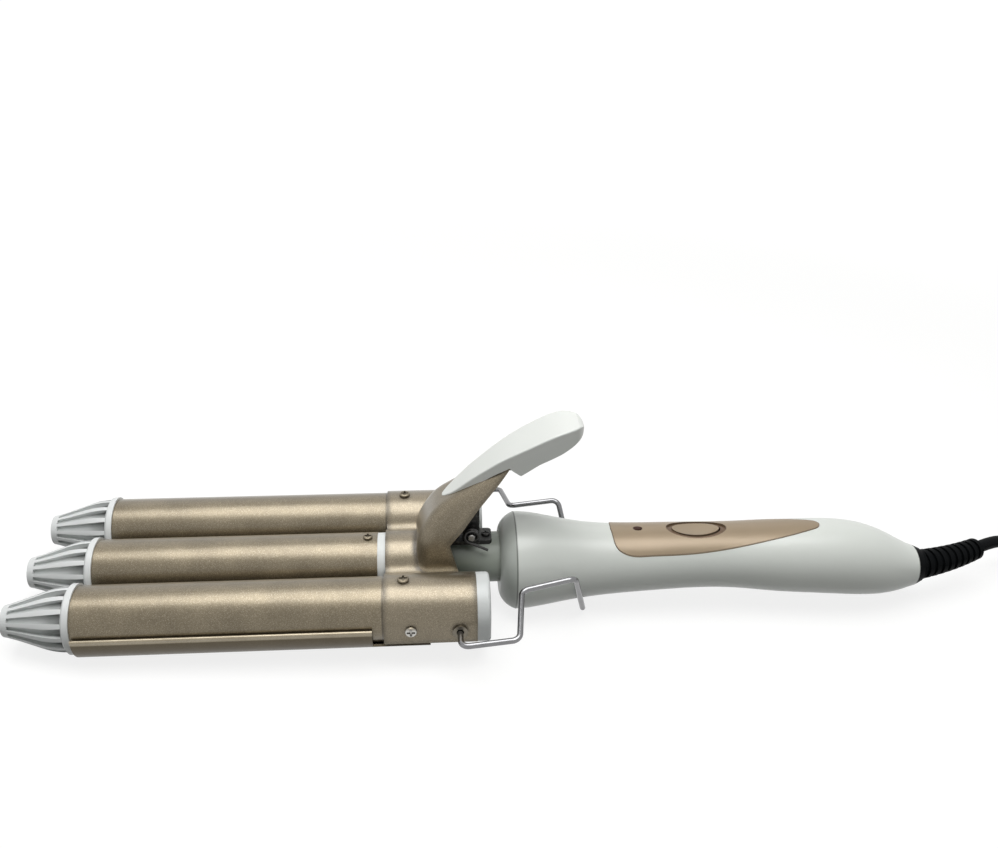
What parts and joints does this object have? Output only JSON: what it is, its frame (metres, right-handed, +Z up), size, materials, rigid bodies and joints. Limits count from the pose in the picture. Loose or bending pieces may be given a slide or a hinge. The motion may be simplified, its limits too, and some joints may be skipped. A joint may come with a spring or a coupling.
{
  "type": "triple-barrel hair waver",
  "caption": "Hair styling iron with parallel heated barrels, a hinged clamp bracket with thumb lever, tapered handle, wire stand and mains lead",
  "frame": {"origin": "on the table under the middle of the tool's length and width, without its cord", "axes": "+X from the barrels' noses towards the cord, +Y towards the far barrel, +Z up from the table"},
  "size_m": [0.5985, 0.1242, 0.0862],
  "materials": {
    "barrel_coating": "satin speckled champagne-bronze coating",
    "bracket_metal": "pressed sheet, satin champagne-bronze coating",
    "nose_plastic": "heat-resistant white moulding",
    "white_plastic": "smooth white moulding",
    "neck_plastic": "white moulding, slightly matt",
    "gold_panel": "warm gold lacquer",
    "button_plastic": "warm gold lacquer",
    "bezel_plastic": "darker bronze ring",
    "lens_plastic": "smoked lamp window",
    "led_body": "clear red",
    "chrome": "polished",
    "steel": "plain screws and stampings",
    "spring_steel": "dark oiled spring wire",
    "grey_plastic": "dark grey moulding",
    "ceramic": "ceramic heater",
    "spreader_metal": "bare extruded",
    "board": "green laminate",
    "components": "black moulded components",
    "lead_insulation": "red silicone insulation",
    "mains_insulation": "brown and blue insulation",
    "black_cord": "matt black PVC",
    "tie_plastic": "soft black strap",
    "brass_pins": "nickelled pins"
  },
  "bodies": {
    "handle": {"middle_barrel": "barrel_coating", "lower_shells": "barrel_coating", "middle_nose": "nose_plastic", "handle_shell": "white_plastic", "underside_cover": "white_plastic", "front_cap": "white_plastic", "neck": "neck_plastic", "top_panel": "gold_panel", "button_bezel": "bezel_plastic", "lamp_lens": "lens_plastic", "status_led": "led_body", "barrel_screw": "steel", "saddle_screw": "steel", "hinge_post_screws": "steel", "cover_screws": "steel", "hinge_pin": "steel", "hinge_post": "steel", "lever_spring": "spring_steel", "switch_body": "grey_plastic", "end_ring": "grey_plastic", "middle_heater": "ceramic", "middle_heat_spreaders": "spreader_metal", "circuit_board": "board", "board_components": "components", "heater_leads": "lead_insulation", "mains_leads": "mains_insulation", "power_cord": "black_cord", "cord_coil": "black_cord", "strain_relief": "black_cord", "power_plug": "black_cord", "cord_tie": "tie_plastic", "plug_pins": "brass_pins"},
    "clamp": {"bracket": "bracket_metal", "bracket_screws": "steel", "eyelets": "chrome", "near_barrel": "barrel_coating", "far_barrel": "barrel_coating", "near_nose": "nose_plastic", "far_nose": "nose_plastic", "near_heater": "ceramic", "far_heater": "ceramic", "near_heat_spreaders": "spreader_metal", "far_heat_spreaders": "spreader_metal", "near_end_cap": "nose_plastic", "far_end_cap": "nose_plastic", "hinge_yoke": "steel", "thumb_pad": "white_plastic", "pad_screw": "steel"},
    "stand": {"wire_stand": "chrome"},
    "button": {"power_button": "button_plastic", "switch_plunger": "grey_plastic"}
  },
  "joints": [
    {"name": "lever_hinge", "type": "hinge", "parent": "handle", "child": "clamp", "pos_m": [-0.02643, 0, 0.03715], "axis": [0, 1, 0], "range_deg": [0, 30], "stiffness_Nm_per_rad": 0.35, "springref_deg": -20.05},
    {"name": "stand_pivot", "type": "hinge", "parent": "clamp", "child": "stand", "pos_m": [-0.03153, 0, 0.01844], "axis": [0, 1, 0], "range_deg": [0, 105]},
    {"name": "button_press", "type": "slide", "parent": "handle", "child": "button", "axis": [0.0375, 0, -0.9993], "range_m": [0, 0.0015], "stiffness_N_per_m": 800}
  ]
}
